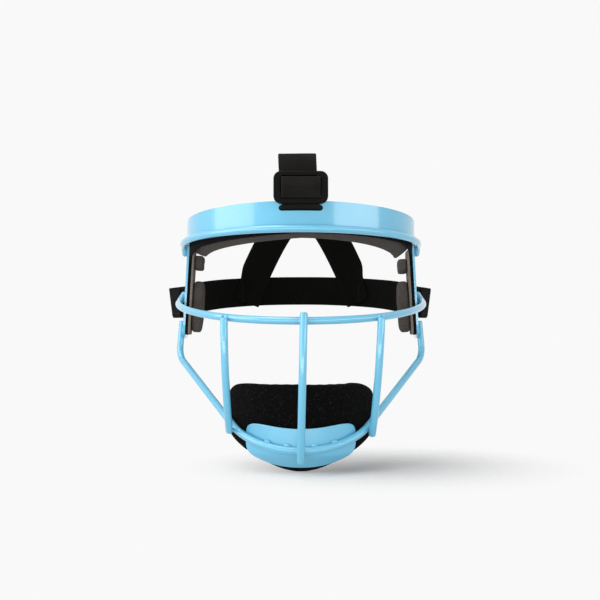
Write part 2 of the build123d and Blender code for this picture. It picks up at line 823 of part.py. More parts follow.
def make_strap_bight():
    """Webbing threaded over the buckle's middle bar."""
    half = glide_window / 2 - soft_gap - strap
    back = glide_back - soft_gap
    front = glide_back - bight_bulge + strap
    path = ThreePointArc((back, -half), (front, 0), (back, half))
    plane = Plane(origin=(0, 0, glide_middle), x_dir=(0, 1, 0), z_dir=(1, 0, 0))
    return band(Wire([path.edge()]), strap, strap_width, plane, side=Side.LEFT)


def build_guard():
    """Every piece of the guard by name, in the upright frame."""
    side_plate = make_side_plate()
    pocket_depth = brow_reach + crown_back_face + strap + soft_gap
    strap_pocket = Pos(0, -brow_reach + pocket_depth / 2, plate_top) * Box(
        crown_slot_width, pocket_depth, 2 * (crown_slot_drop + crown_slot_height)
    )
    crown_space = make_crown_space()
    pieces = {
        "brow_plate": make_brow_plate(),
        "brow_wire": make_brow_wire(side_plate),
        "cheek_wire": make_cheek_wire(side_plate),
        "jaw_wire": make_jaw_wire(side_plate),
        "center_bar": make_bar(0, 0, center_bar_head, center_bar_foot),
        "chin_plate": make_chin_plate(),
        "chin_tacks": make_chin_tacks(),
        "brow_hook": make_brow_hook(strap_pocket),
        "brow_pad": make_brow_pad(strap_pocket),
        "chin_hook": make_chin_hook(),
        "chin_pad": make_chin_pad(),
        "back_strap": make_back_strap(),
        "crown_strap": make_crown_strap(),
        "anchor_strap": make_anchor_strap(),
        "tri_glide": make_tri_glide(),
        "strap_bight": make_strap_bight(),
    }
    paired = {
        "side_plate": side_plate,
        "bar": make_bar(side_bar_half_width, side_bar_foot_half_width, side_bar_head, side_bar_foot),
        "side_hook": make_side_hook(),
        "side_liner": make_side_liner(),
        "temple_cushion": make_side_cushion(
            temple_cushion_drop, temple_cushion_length, temple_cushion_thickness, temple_ribs
        ),
        "cheek_cushion": make_side_cushion(
            cheek_cushion_drop, cheek_cushion_length, cheek_cushion_thickness, cheek_ribs
        ),
        "v_strap": make_v_strap(crown_space),
        "slot_fold": make_slot_fold(),
        "strap_tab": make_strap_tab(),
        "tab_hook": make_tab_hook(),
    }
    for name, piece in paired.items():
        pieces["left_" + name] = piece
        pieces["right_" + name] = mirror(piece, about=Plane.YZ)
    return pieces


os.makedirs("parts", exist_ok=True)
for name, piece in build_guard().items():
    export_step(Rot(-lean, 0, 0) * piece, "parts/" + name + ".step")
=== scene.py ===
import math

import bmesh
import bpy
from mathutils import Matrix, Vector, noise


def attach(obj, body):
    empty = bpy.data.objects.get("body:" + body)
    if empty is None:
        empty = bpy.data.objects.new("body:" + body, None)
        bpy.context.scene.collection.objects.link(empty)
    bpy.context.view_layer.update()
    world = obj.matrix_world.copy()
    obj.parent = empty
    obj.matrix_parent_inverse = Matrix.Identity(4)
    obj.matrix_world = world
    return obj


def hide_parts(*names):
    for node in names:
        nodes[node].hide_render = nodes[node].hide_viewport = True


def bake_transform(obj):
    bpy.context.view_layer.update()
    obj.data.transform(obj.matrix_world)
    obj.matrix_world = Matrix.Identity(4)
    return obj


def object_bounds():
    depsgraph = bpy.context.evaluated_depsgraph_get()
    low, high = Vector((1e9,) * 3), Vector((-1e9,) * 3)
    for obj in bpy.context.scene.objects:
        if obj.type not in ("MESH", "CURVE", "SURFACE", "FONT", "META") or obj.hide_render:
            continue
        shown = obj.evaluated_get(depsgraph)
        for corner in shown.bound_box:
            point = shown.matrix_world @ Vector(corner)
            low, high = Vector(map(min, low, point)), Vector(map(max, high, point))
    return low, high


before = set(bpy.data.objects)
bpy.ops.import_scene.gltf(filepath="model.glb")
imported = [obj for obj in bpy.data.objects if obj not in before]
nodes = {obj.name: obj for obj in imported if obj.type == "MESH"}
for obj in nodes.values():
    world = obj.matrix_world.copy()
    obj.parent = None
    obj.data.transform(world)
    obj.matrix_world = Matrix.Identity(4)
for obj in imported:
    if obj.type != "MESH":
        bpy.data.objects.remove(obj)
cad_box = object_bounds()

# The guard is laid out in millimetres in its own upright frame, as the solids are, then leaned back and
# scaled to metres.
LEAN = 2.75
MM = 0.001
TO_SCENE = Matrix.Rotation(math.radians(-LEAN), 4, "X") @ Matrix.Scale(MM, 4)

# Sheet, wire by its radius, strap, the gap beside soft pieces, and hook tape with the play at its faces
SHEET = 1.6
WIRE = 2.5
STRAP = 1.8
STRAP_WIDTH = 25.4
SOFT_GAP = 0.3
HOOK = 1.3
THIN = 0.03

# Brow plate
BROW_REACH = 85.0
BROW_FRONT_RADIUS = 87.5
BROW_FRONT_TURN = 45.0
BROW_SIDE_RADIUS = 81.0
PLATE_LOW = 41.0
PLATE_TOP = 61.8
CROWN_SLOT = 57.1

# Side plates: the left one's corner under the brow plate, its two small angles, its strap slot and its pads
ARM_CORNER = (85.485, -6.335, 41.0)
ARM_TOE = 3.0
ARM_SPLAY = 3.0
ARM_WIDTH = 37.387
SLOT_DOWN = 41.0
SLOT_BACK_BAR = 6.0
SLOT_TURN_END = ARM_WIDTH + 0.8
SIDE_PAD_BACK = 13.0
SIDE_PAD_DOWN = 35.0
# The side hook tape is thicker than the brow's, so that its black also stands in for the shade in the gap
# between the side plate and the liner.
SIDE_TAPE_AND_SHADE = 2.1
LINER = 2.7

# Wires: reach, drop, rise in degrees and radius of the front bend
CHEEK_WIRE = (104.3, 18.2, 9.0, 80.5)
JAW_WIRE = (90.2, 101.9, 32.0, 52.5)

# Bars: places of head and foot to the left of the middle, and lengths past the cheek wire and the jaw wire
BARS = (
    ("center", 1.8, 0.0, 6.1, 5.6),
    ("left", 52.3, 47.9, 0.4, 3.9),
    ("right", -49.7, -47.6, 0.4, 0.4),
)
BAR_BOW = 9.0
BAR_ROUND = 1.2
BAR_OFF_CHEEK = 0.45
BAR_OFF_JAW = 0.1

# Welds: the chin tacks' places, where the wires end on a side plate, with each weld's lean and length, a
# bead's radius and its length beside a bar
TACKS = (-22.0, -9.0, 9.0, 22.0)
SIDE_WELDS = ((14.0, -38.2, 29.0, 7.5), (15.6, -63.5, 78.0, 9.0))
BEAD = 1.1
BAR_BEAD = 4.4

# Brow pad and its tape: reach under the plate, distance from its top, thickness, and turn to each end
BROW_PAD_UNDER = 3.8
BROW_PAD_SHORT = 1.3
BROW_PAD_THICK = 13.0
BROW_PAD_TURN = 82.0
BROW_TAPE_UNDER = 0.4
BROW_TAPE_SHORT = 6.0
BROW_TAPE_TURN = 84.0

# How far both fall at the ends of the brow, and how much more the tape's last stretch does, so that its
# black also stands in for the shade under the pad's ends
RIGHT_FALL = 7.5
LEFT_FALL = 4.5
FALL_POWER = 1.6
TAPE_FALL = 5.0
TAPE_FALL_FROM = 0.7

# Side tapes, liners and cushions
SIDE_TAPE_WIDE = 20.0
SIDE_TAPE_LONG = 66.5
SIDE_TAPE_RAISED = 1.0
LINER_WIDE = 23.0
LINER_LONG = 64.0
CUSHION_WIDE = 19.4
CUSHION_OVERLAP = 0.5

# Harness
SLOT_BACK = 22.441
HARNESS_RISE = 7.7
HARNESS_BACK = 26.0
HARNESS_RADIUS = 84.0
HARNESS_TURN = 62.0
HARNESS_SIDE_RADIUS = 105.65
HARNESS_SIDE_TURN = 31.0
V_FOOT = Vector((50.2, 112.09, 9.0))
V_MIDDLE = Vector((28.0, 101.0, 56.0))
V_TOP = Vector((7.0, 67.9, 80.8))
V_FOOT_TURN = 8.0
V_FOOT_HIDDEN = 6.0
V_WIDTH = 1.05 * STRAP_WIDTH
V_ASIDE = 2.0
SEAM_BEARINGS = (33.0, 40.0)
SEAM_HALF = 8.5
TAB_RUN = 42.0
TAB_BEND = 9.0
TAB_TWIST = 12.0
TAB_HOOK = 26.0
TAB_HOOK_INSET = 4.0

# Chin
CHIN_RADIUS = 55.0
CHIN_AXIS = -32.65
CHIN_HALF = 36.7
CHIN_TOP = 82.4
CHIN_DIP = 5.8
CHIN_WAIST = 15.5
CHIN_TOP_CORNER = 5.0
CHIN_LOW_CORNER = 2.3
CHIN_FOLD = 105.6
CHIN_BEND = 4.0
CHIN_LIP_SLOPE = 0.9
CHIN_LOW = 114.4
CHIN_TAPE_HEIGHT = 96.9
CHIN_TAPE_TURN = 39.0
CHIN_TAPE_WIDE = 14.2
CHIN_PAD_RADIUS = 51.8
CHIN_PAD_THICK = 10.5
CHIN_PAD_HALF = 49.4
CHIN_PAD_CORNER = 9.0
CHIN_PAD_TOP = 59.8
CHIN_PAD_WAIST = 92.0
CHIN_PAD_LOW = 117.6


# Surface finishes, with the yarns and the selvedge's start in metres on a strap's own map

WEBBING_YARN = 0.0013
ELASTIC_YARN = 0.0011
SELVEDGE_FROM = 0.0112


def group_socket(group, name, kind, way, value=None):
    made = group.interface.new_socket(name=name, in_out=way, socket_type="NodeSocket" + kind)
    if value is not None:
        made.default_value = value


def new_group(name):
    group = bpy.data.node_groups.new(name, "ShaderNodeTree")
    return group, group.nodes.new("NodeGroupInput"), group.nodes.new("NodeGroupOutput")


def maths(tree, operation, a, b=None):
    """One sum in a node tree, of numbers or outputs."""
    node = tree.nodes.new("ShaderNodeMath")
    node.operation = operation
    for slot, value in zip(node.inputs, (a, b)):
        if isinstance(value, (int, float)):
            slot.default_value = value
        elif value is not None:
            tree.links.new(value, slot)
    return node.outputs[0]


def mottle_group():
    """Slow clouds and fine grain over a surface."""
    group, enter, leave = new_group("surface_mottle")
    group_socket(group, "Vector", "Vector", "INPUT")
    for label, scale, detail in (("Cloud", 60.0, 3.0), ("Grain", 900.0, 4.0)):
        group_socket(group, label + " Scale", "Float", "INPUT", scale)
        group_socket(group, label, "Float", "OUTPUT")
        clouds = group.nodes.new("ShaderNodeTexNoise")
        clouds.inputs["Detail"].default_value = detail
        group.links.new(enter.outputs["Vector"], clouds.inputs["Vector"])
        group.links.new(enter.outputs[label + " Scale"], clouds.inputs["Scale"])
        group.links.new(clouds.outputs["Fac"], leave.inputs[label])
    return group


def weave_group():
    """Basket weave in a strap's own map, which runs in metres along and across it."""
    group, enter, leave = new_group("strap_weave")
    group_socket(group, "Map", "Vector", "INPUT")
    group_socket(group, "Yarn", "Float", "INPUT", WEBBING_YARN)
    group_socket(group, "Height", "Float", "OUTPUT")
    group_socket(group, "Selvedge", "Float", "OUTPUT")
    split = group.nodes.new("ShaderNodeSeparateXYZ")
    group.links.new(enter.outputs["Map"], split.inputs[0])
    along = maths(group, "DIVIDE", split.outputs["X"], enter.outputs["Yarn"])
    across = maths(group, "DIVIDE", split.outputs["Y"], enter.outputs["Yarn"])
    crossings = []
    for turn in (maths(group, "ADD", along, across), maths(group, "SUBTRACT", along, across)):
        wave = maths(group, "SINE", maths(group, "MULTIPLY", turn, math.pi))
        crossings.append(maths(group, "ABSOLUTE", wave))
    height = maths(group, "MULTIPLY", crossings[0], crossings[1])
    group.links.new(height, leave.inputs["Height"])
    edge = maths(group, "GREATER_THAN", maths(group, "ABSOLUTE", split.outputs["Y"]), SELVEDGE_FROM)
    group.links.new(edge, leave.inputs["Selvedge"])
    return group


def cells_group():
    """Open cells of foam, or tufts of a brushed face."""
    group, enter, leave = new_group("open_cells")
    group_socket(group, "Vector", "Vector", "INPUT")
    group_socket(group, "Scale", "Float", "INPUT", 1400.0)
    group_socket(group, "Wall", "Float", "OUTPUT")
    group_socket(group, "Distance", "Float", "OUTPUT")
    cells = group.nodes.new("ShaderNodeTexVoronoi")
    group.links.new(enter.outputs["Vector"], cells.inputs["Vector"])
    group.links.new(enter.outputs["Scale"], cells.inputs["Scale"])
    wall = group.nodes.new("ShaderNodeMapRange")
    for label, value in (("From Min", 0.15), ("From Max", 0.55)):
        wall.inputs[label].default_value = value
    group.links.new(cells.outputs["Distance"], wall.inputs["Value"])
    group.links.new(wall.outputs["Result"], leave.inputs["Wall"])
    group.links.new(cells.outputs["Distance"], leave.inputs["Distance"])
    return group


MOTTLE = mottle_group()
WEAVE = weave_group()
CELLS = cells_group()


class Finish:
    """A material in the making: one principled shader, fed by the shared groups."""

    def __init__(self, name, roughness, specular, sheen=0.0, coat=0.0, coat_roughness=0.1):
        self.material = bpy.data.materials.new(name)
        self.material.use_nodes = True
        self.tree = self.material.node_tree
        self.shader = self.tree.nodes["Principled BSDF"]
        self.where = self.tree.nodes.new("ShaderNodeTexCoord")
        self.normal = None
        for label, value in (
            ("Roughness", roughness),
            ("Specular IOR Level", specular),
            ("Sheen Weight", sheen),
            ("Sheen Roughness", 0.5),
            ("Coat Weight", coat),
            ("Coat Roughness", coat_roughness),
        ):
            self.shader.inputs[label].default_value = value

    def use(self, group, space="Object", **values):
        """A shared group, read in a space of the piece."""
        node = self.tree.nodes.new("ShaderNodeGroup")
        node.node_tree = group
        self.tree.links.new(self.where.outputs[space], node.inputs[0])
        for label, value in values.items():
            node.inputs[label.replace("_", " ")].default_value = value
        return node.outputs

    def colour(self, factor, dark, light):
        """Base colour between two tones, blended over the middle stretch of a factor."""
        stretch = (0.3, 0.7)
        ramp = self.tree.nodes.new("ShaderNodeValToRGB")
        for element, tone, place in zip(ramp.color_ramp.elements, (dark, light), stretch):
            element.color = (*tone, 1)
            element.position = place
        self.tree.links.new(factor, ramp.inputs["Fac"])
        self.tree.links.new(ramp.outputs["Color"], self.shader.inputs["Base Color"])

    def uneven_gloss(self, factor, least, most):
        """Roughness that wanders between two values."""
        spread = self.tree.nodes.new("ShaderNodeMapRange")
        spread.inputs["To Min"].default_value = least
        spread.inputs["To Max"].default_value = most
        self.tree.links.new(factor, spread.inputs["Value"])
        self.tree.links.new(spread.outputs["Result"], self.shader.inputs["Roughness"])

    def raise_by(self, height, strength, distance):
        """Relief, laid over any relief already there."""
        bump = self.tree.nodes.new("ShaderNodeBump")
        bump.inputs["Strength"].default_value = strength
        bump.inputs["Distance"].default_value = distance
        self.tree.links.new(height, bump.inputs["Height"])
        if self.normal is not None:
            self.tree.links.new(self.normal, bump.inputs["Normal"])
        self.normal = bump.outputs["Normal"]
        self.tree.links.new(self.normal, self.shader.inputs["Normal"])


def powder_coat():
    """Gloss sky blue powder coat with a faint orange peel."""
    finish = Finish("sky_powder_coat", 0.34, 0.5, coat=1.0, coat_roughness=0.12)
    mottle = finish.use(MOTTLE, Cloud_Scale=24.0, Grain_Scale=380.0)
    finish.colour(mottle["Cloud"], (0.105, 0.420, 0.610), (0.115, 0.435, 0.625))
    finish.uneven_gloss(mottle["Cloud"], 0.28, 0.42)
    finish.raise_by(mottle["Grain"], 0.10, 0.0004)
    return finish.material


def strap_finish(name, dark, light, yarn, depth, sheen):
    """Woven strap: yarns in relief with painted light on their crests, a plain selvedge and a little lint.
    """
    finish = Finish(name, 0.85, 0.04, sheen=sheen)
    weave = finish.use(WEAVE, space="UV", Yarn=yarn)
    mottle = finish.use(MOTTLE, Cloud_Scale=60.0, Grain_Scale=1400.0)
    # Painted light: the colour is lighter where the weave is raised, as if the yarn crests were lit.
    lit = maths(finish.tree, "MULTIPLY", weave["Height"], maths(finish.tree, "ADD", mottle["Cloud"], 0.35))
    edge = maths(finish.tree, "MULTIPLY", weave["Selvedge"], 0.1)
    finish.colour(maths(finish.tree, "ADD", lit, edge), dark, light)
    finish.raise_by(weave["Height"], 0.7, depth)
    finish.raise_by(mottle["Grain"], 0.25, 0.0003)
    return finish.material


def foam_finish(name, dark, light, scale, depth):
    """Closed foam with its skin worn to fine cells, and painted shade in the cells' hollows."""
    finish = Finish(name, 0.95, 0.06, sheen=0.04)
    cells = finish.use(CELLS, Scale=scale)
    mottle = finish.use(MOTTLE, Cloud_Scale=110.0, Grain_Scale=1000.0)
    grain = maths(finish.tree, "MULTIPLY", mottle["Grain"], 0.6)
    # Painted shade: the colour is darker in the cells' hollows and lighter on their walls.
    wall = maths(finish.tree, "MULTIPLY", cells["Wall"], 0.4)
    finish.colour(maths(finish.tree, "ADD", grain, wall), dark, light)
    finish.raise_by(cells["Wall"], 0.4, depth)
    finish.raise_by(mottle["Cloud"], 0.3, 0.0012)
    return finish.material


def fleece_finish():
    """Black brushed face of the chin pad, with paler fibres here and there."""
    finish = Finish("chin_fleece", 1.0, 0.02, sheen=0.02)
    mottle = finish.use(MOTTLE, Cloud_Scale=200.0, Grain_Scale=1200.0)
    specks = finish.use(CELLS, Scale=620.0)
    fibre = maths(finish.tree, "LESS_THAN", specks["Distance"], 0.16)
    fibre = maths(finish.tree, "MULTIPLY", fibre, mottle["Cloud"])
    grain = maths(finish.tree, "MULTIPLY", mottle["Grain"], 0.3)
    finish.colour(maths(finish.tree, "ADD", fibre, grain), (0.003, 0.003, 0.003), (0.045, 0.042, 0.04))
    finish.raise_by(mottle["Grain"], 0.9, 0.0012)
    finish.raise_by(mottle["Cloud"], 0.5, 0.0014)
    return finish.material


def hook_finish():
    """Hook tape: rows of tiny stiff loops on a black band."""
    finish = Finish("hook_tape", 0.9, 0.04)
    hooks = finish.use(CELLS, Scale=850.0)
    # Painted light and shade: the colour is a touch lighter on the raised loops and darker between them.
    finish.colour(hooks["Wall"], (0.003, 0.003, 0.0035), (0.009, 0.009, 0.01))
    finish.raise_by(hooks["Wall"], 0.8, 0.0007)
    return finish.material


def moulded_finish():
    """Satin black plastic of the buckle."""
    finish = Finish("buckle_plastic", 0.45, 0.07)
    mottle = finish.use(MOTTLE, Cloud_Scale=80.0, Grain_Scale=2000.0)
    finish.colour(mottle["Cloud"], (0.002, 0.002, 0.002), (0.0035, 0.0035, 0.0035))
    finish.uneven_gloss(mottle["Cloud"], 0.34, 0.46)
    finish.raise_by(mottle["Grain"], 0.15, 0.0002)
    return finish.material


def thread_finish():
    """Bonded thread of the seams."""
    finish = Finish("bonded_thread", 0.55, 0.2)
    mottle = finish.use(MOTTLE, Cloud_Scale=300.0, Grain_Scale=2600.0)
    finish.colour(mottle["Grain"], (0.008, 0.008, 0.009), (0.022, 0.022, 0.024))
    finish.raise_by(mottle["Grain"], 0.4, 0.0002)
    return finish.material


POWDER = powder_coat()
WEBBING = strap_finish(
    "basket_webbing",
    dark=(0.005, 0.0045, 0.004),
    light=(0.026, 0.025, 0.022),
    yarn=WEBBING_YARN,
    depth=0.0006,
    sheen=0.02,
)
ELASTIC = strap_finish(
    "knitted_elastic",
    dark=(0.002, 0.002, 0.0018),
    light=(0.0065, 0.006, 0.0053),
    yarn=ELASTIC_YARN,
    depth=0.0004,
    sheen=0.0,
)
FOAM = foam_finish(
    "cushion_foam",
    dark=(0.036, 0.031, 0.028),
    light=(0.070, 0.062, 0.056),
    scale=1400.0,
    depth=0.0005,
)
CUT_FOAM = foam_finish(
    "cut_foam_edge",
    dark=(0.10, 0.085, 0.075),
    light=(0.19, 0.165, 0.145),
    scale=1800.0,
    depth=0.0004,
)
FLEECE = fleece_finish()
HOOK_TAPE = hook_finish()
PLASTIC = moulded_finish()
THREAD = thread_finish()


# Lines that straps and pads follow


def arc(centre, start, axis, degrees, steps):
    """Points turned about an axis through a centre."""
    spoke = Vector(start) - Vector(centre)
    turns = [Matrix.Rotation(math.radians(degrees * k / steps), 3, Vector(axis)) for k in range(steps + 1)]
    return [Vector(centre) + turn @ spoke for turn in turns]


def arc_through(first, middle, last, steps):
    """Points on the arc through three points, and the arc's axis."""
    axis = (middle - first).cross(last - first).normalized()
    low, high = (first + middle) / 2, (middle + last) / 2
    aside = axis.cross(last - middle)
    centre = high - aside * ((high - low).dot(middle - first) / aside.dot(middle - first))
    sweep = math.degrees((first - centre).angle(last - centre))
    return arc(centre, first, axis, sweep, steps), axis


def rounded(points, radii, steps=6):
    """Line through points with its inner corners rounded."""
    points = [Vector(p) for p in points]
    line = [points[0]]
    for before, corner, after, radius in zip(points, points[1:], points[2:], radii):
        a = (before - corner).normalized()
        b = (after - corner).normalized()
        half = a.angle(b) / 2
        centre = corner + (a + b).normalized() * (radius / math.sin(half))
        first = corner + a * (radius / math.tan(half))
        last = corner + b * (radius / math.tan(half))
        axis = (first - centre).cross(last - centre).normalized()
        line += arc(centre, first, axis, 180 - math.degrees(2 * half), steps)
    line.append(points[-1])
    return line


class Route:
    """Line for a strap, with the way across it, which may turn by some degrees from start to end."""

    def __init__(self, points, across, first_turn=0.0, last_turn=0.0):
        self.points = [Vector(p) for p in points]
        self.base = Vector(across).normalized()
        self.turns = (first_turn, last_turn)
        self.run = [0.0]
        for a, b in zip(self.points, self.points[1:]):
            self.run.append(self.run[-1] + (b - a).length)
        self.length = self.run[-1]

    def at(self, s):
        index = 0
        while index < len(self.run) - 2 and self.run[index + 1] < s:
            index += 1
        a, b = self.points[index], self.points[index + 1]
        return a + (b - a) * ((s - self.run[index]) / (self.run[index + 1] - self.run[index]))

    def way(self, s):
        """Way along the line, averaged over a short stretch so that bends stay smooth."""
        reach = 0.8
        return (self.at(min(s + reach, self.length)) - self.at(max(s - reach, 0.0))).normalized()

    def across(self, s):
        first, last = self.turns
        turn = first + (last - first) * s / self.length
        return Matrix.Rotation(math.radians(turn), 3, self.way(s)) @ self.base

    def normal(self, s):
        return self.way(s).cross(self.across(s)).normalized()


def bent_round(turn, front_turn, front_radius, side_radius, centre, behind, inset, steps):
    """Points on a two-radius arch, from right to left, that lies behind its centre (1) or in front (-1)."""
    line = []
    for step in range(steps + 1):
        angle = (2 * step / steps - 1) * turn
        clipped = math.radians(max(-front_turn, min(front_turn, angle)))
        middle, radius = centre.copy(), front_radius
        if abs(angle) > front_turn:
            joint = Vector((math.sin(clipped), behind * math.cos(clipped), 0))
            middle += joint * (front_radius - side_radius)
            radius = side_radius
        spoke = Vector((math.sin(math.radians(angle)), behind * math.cos(math.radians(angle)), 0))
        line.append(middle + spoke * (radius - inset))
    return line


def brow_line(inset, height, turn, steps=60):
    """Line round the inside of the brow plate."""
    centre = Vector((0, BROW_FRONT_RADIUS - BROW_REACH, height))
    radii = BROW_FRONT_RADIUS, BROW_SIDE_RADIUS
    return bent_round(turn, BROW_FRONT_TURN, *radii, centre, -1, inset, steps)


def brow_fall(out):
    """How far the brow's foam and tape hang, with out from -1 at the right end to 1 at the left end."""
    return RIGHT_FALL * -out if out < 0 else LEFT_FALL * out**FALL_POWER


def harness_line(inset, steps=96):
    """Line round the back of the head, along the elastic as it lies on its rise."""
    turn = HARNESS_TURN + HARNESS_SIDE_TURN
    centre = Vector((0, HARNESS_BACK, 0))
    radii = HARNESS_RADIUS, HARNESS_SIDE_RADIUS
    flat = bent_round(turn, HARNESS_TURN, *radii, centre, 1, inset, steps)
    return [FROM_HARNESS @ point for point in flat]


def chin_line(radius, turn, height, steps):
    """Line round the chin, from right to left."""
    centre = Vector((0, CHIN_AXIS, height))
    start = centre + Matrix.Rotation(math.radians(-turn), 3, "Z") @ Vector((0, -radius, 0))
    return arc(centre, start, (0, 0, 1), 2 * turn, steps)


# From the harness, tilted about the line through the slots, and from the left side plate, whose own axes
# run back, up and out, into the guard's frame
FROM_HARNESS = Matrix.Translation((0, SLOT_BACK, 0)) @ Matrix.Rotation(math.radians(HARNESS_RISE), 4, "X")
TOE = math.radians(ARM_TOE)
SPLAY = math.radians(ARM_SPLAY)
ARM_WAY = Vector((math.sin(TOE), math.cos(TOE), 0))
ARM_OUT = Vector((math.cos(TOE) * math.cos(SPLAY), -math.sin(TOE) * math.cos(SPLAY), math.sin(SPLAY)))
ARM_UP = ARM_OUT.cross(ARM_WAY)
FROM_ARM = Matrix.Translation(ARM_CORNER) @ Matrix((ARM_WAY, ARM_UP, ARM_OUT)).transposed().to_4x4()


# Ways to make a piece


def finished(name, bm, material, mirrored=False):
    """Object from a mesh in upright millimetres, leaned and scaled into the scene."""
    if mirrored:
        bmesh.ops.scale(bm, vec=(-1, 1, 1), verts=bm.verts)
    bm.transform(TO_SCENE)
    bmesh.ops.recalc_face_normals(bm, faces=bm.faces)
    mesh = bpy.data.meshes.new(name)
    bm.to_mesh(mesh)
    bm.free()
    mesh.materials.append(material)
    mesh.shade_smooth()
    piece = bpy.data.objects.new(name, mesh)
    bpy.context.scene.collection.objects.link(piece)
    return piece


def settled(piece, body, slot, *stands_for):
    """Hang a piece on its body and hide the solids that it stands for; the slot is not used."""
    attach(piece, body)
    if stands_for:
        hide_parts(*stands_for)
    return piece


def soften_rim(bm, offset, segments):
    """Round the sharp edges of a sheet of strap or steel."""
    sharp = math.radians(55)
    rim = [e for e in bm.edges if len(e.link_faces) == 2 and e.calc_face_angle() > sharp]
    bmesh.ops.bevel(
        bm,
        geom=rim,
        offset=offset,
        segments=segments,
        profile=0.5,
        affect="EDGES",
        material=-1,
        clamp_overlap=True,
    )


def strap_piece(
    name, route, width, thickness, material, mirrored=False, step=1.6, ripple=0.0, seed=0.0, fit=None
):
    """Flat strap along a route, mapped in metres along and across, with soft selvedges."""
    calm_end, ripple_along, ripple_across = 12.0, 26.0, 30.0
    bm = bmesh.new()
    columns = max(6, round(route.length / step))
    bmesh.ops.create_grid(bm, x_segments=columns, y_segments=8, size=0.5)
    chart = bm.loops.layers.uv.new("UVMap")
    for face in bm.faces:
        for loop in face.loops:
            loop[chart].uv = ((loop.vert.co.x + 0.5) * route.length * MM, loop.vert.co.y * width * MM)
    for vert in bm.verts:
        s = (vert.co.x + 0.5) * route.length
        t = vert.co.y * width
        ease = min(1.0, s / calm_end, (route.length - s) / calm_end)
        wave = ripple * ease * noise.noise(Vector((s / ripple_along, t / ripple_across, seed)))
        vert.co = route.at(s) + route.across(s) * t + route.normal(s) * (wave + thickness / 2)
        if fit is not None:
            vert.co = fit(vert.co)
    bmesh.ops.recalc_face_normals(bm, faces=bm.faces)
    bm.normal_update()
    if next(iter(bm.faces)).normal.dot(route.normal(0.0)) < 0:
        bmesh.ops.reverse_faces(bm, faces=bm.faces)
    bmesh.ops.solidify(bm, geom=list(bm.faces), thickness=thickness)
    bmesh.ops.recalc_face_normals(bm, faces=bm.faces)
    soften_rim(bm, 0.32 * thickness, 2)
    return finished(name, bm, material, mirrored)


def soft_block(size, place, power, grooves=0, depth=0.0, lumps=0.0, seed=0.0, cuts=22):
    """Cushion: a cube blown towards a rounded block, with upright channels in its face."""
    channel, lump_pitch, swell_aside = 0.16, 2.1, 0.3
    bm = bmesh.new()
    bmesh.ops.create_cube(bm, size=2.0)
    bmesh.ops.subdivide_edges(bm, edges=list(bm.edges), cuts=cuts, use_grid_fill=True)
    for vert in bm.verts:
        x, y, z = vert.co
        spread = (abs(x) ** power + abs(y) ** power + abs(z) ** power) ** (1 / power)
        x, y, z = vert.co * (max(abs(x), abs(y), abs(z)) / spread)
        lane = (x + 1) * (grooves + 1) / 2
        if z > 0 and 0 < round(lane) < grooves + 1:
            z -= depth * math.exp(-(((lane - round(lane)) / channel) ** 2)) * min(1.0, z * 1.5)
        swell = lumps * noise.noise(Vector((x * lump_pitch, y * lump_pitch, z + seed)))
        wide, long, thick = x * (1 + swell_aside * swell), y, z * (1 + swell)
        vert.co = (wide * size[0] / 2, long * size[1] / 2, thick * size[2] / 2)
    bmesh.ops.transform(bm, matrix=place, verts=bm.verts)
    return bm


def swept(line, ring, steps_round, upright=(0, 0, 1)):
    """Form swept by a ring along a line, closed at both ends; a ring gives its reach aside and upwards."""
    bm = bmesh.new()
    last = len(line) - 1
    bmesh.ops.create_grid(bm, x_segments=last, y_segments=steps_round, size=0.5)
    for vert in bm.verts:
        station = round((vert.co.x + 0.5) * last)
        ahead = (line[min(station + 1, last)] - line[max(station - 1, 0)]).normalized()
        aside = Vector(upright).cross(ahead).normalized()
        side, lift = ring((vert.co.y + 0.5) * 2 * math.pi, station / last)
        vert.co = line[station] + aside * side + ahead.cross(aside) * lift
    bmesh.ops.remove_doubles(bm, verts=bm.verts, dist=0.005)
    bmesh.ops.holes_fill(bm, edges=[e for e in bm.edges if e.is_boundary], sides=0)
    return bm


def squared(angle, power):
    """Cosine and sine of an angle, pushed out towards a square."""
    across, up = math.cos(angle), math.sin(angle)
    return math.copysign(abs(across) ** power, across), math.copysign(abs(up) ** power, up)


def closing(share, length, radius):
    """Round-over of a swept end: 1 along the middle, falling to a small cap at both ends."""
    cap = 0.12
    away = min(1.0, length * min(share, 1 - share) / radius)
    return max(cap, math.sqrt(1 - (1 - away) ** 2))


def weld_bead(bm, at, along, length, width, seed):
    """One run of weld: a low rippled bead."""
    ripple, ripples, unevenness = 0.09, 8.0, 0.1
    made = bmesh.ops.create_uvsphere(bm, u_segments=20, v_segments=14, radius=1.0)["verts"]
    turn = Vector((0, 0, 1)).rotation_difference(Vector(along).normalized()).to_matrix().to_4x4()
    for vert in made:
        swell = 1.0 + ripple * math.sin(vert.co.z * ripples + seed)
        swell += unevenness * noise.noise(vert.co * 2.1 + Vector((seed, 0, 0)))
        vert.co = Vector((vert.co.x * width * swell, vert.co.y * width * swell, vert.co.z * length / 2))
    bmesh.ops.transform(bm, matrix=Matrix.Translation(Vector(at)) @ turn, verts=made)


def stitch_row(bm, start, end, out, pitch=2.4, size=0.4):
    """Row of lockstitches between two points on a strap's face."""
    way = (end - start).normalized()
    count = max(1, round((end - start).length / pitch))
    side = way.cross(out).normalized()
    turn = Matrix((way, side, way.cross(side))).transposed().to_4x4()
    for index in range(count):
        at = start + (end - start) * ((index + 0.5) / count)
        made = bmesh.ops.create_uvsphere(bm, u_segments=8, v_segments=6, radius=0.5)["verts"]
        bmesh.ops.scale(bm, vec=(pitch * 0.8, size, size), verts=made)
        bmesh.ops.transform(bm, matrix=Matrix.Translation(at) @ turn, verts=made)


# Steel and buckle


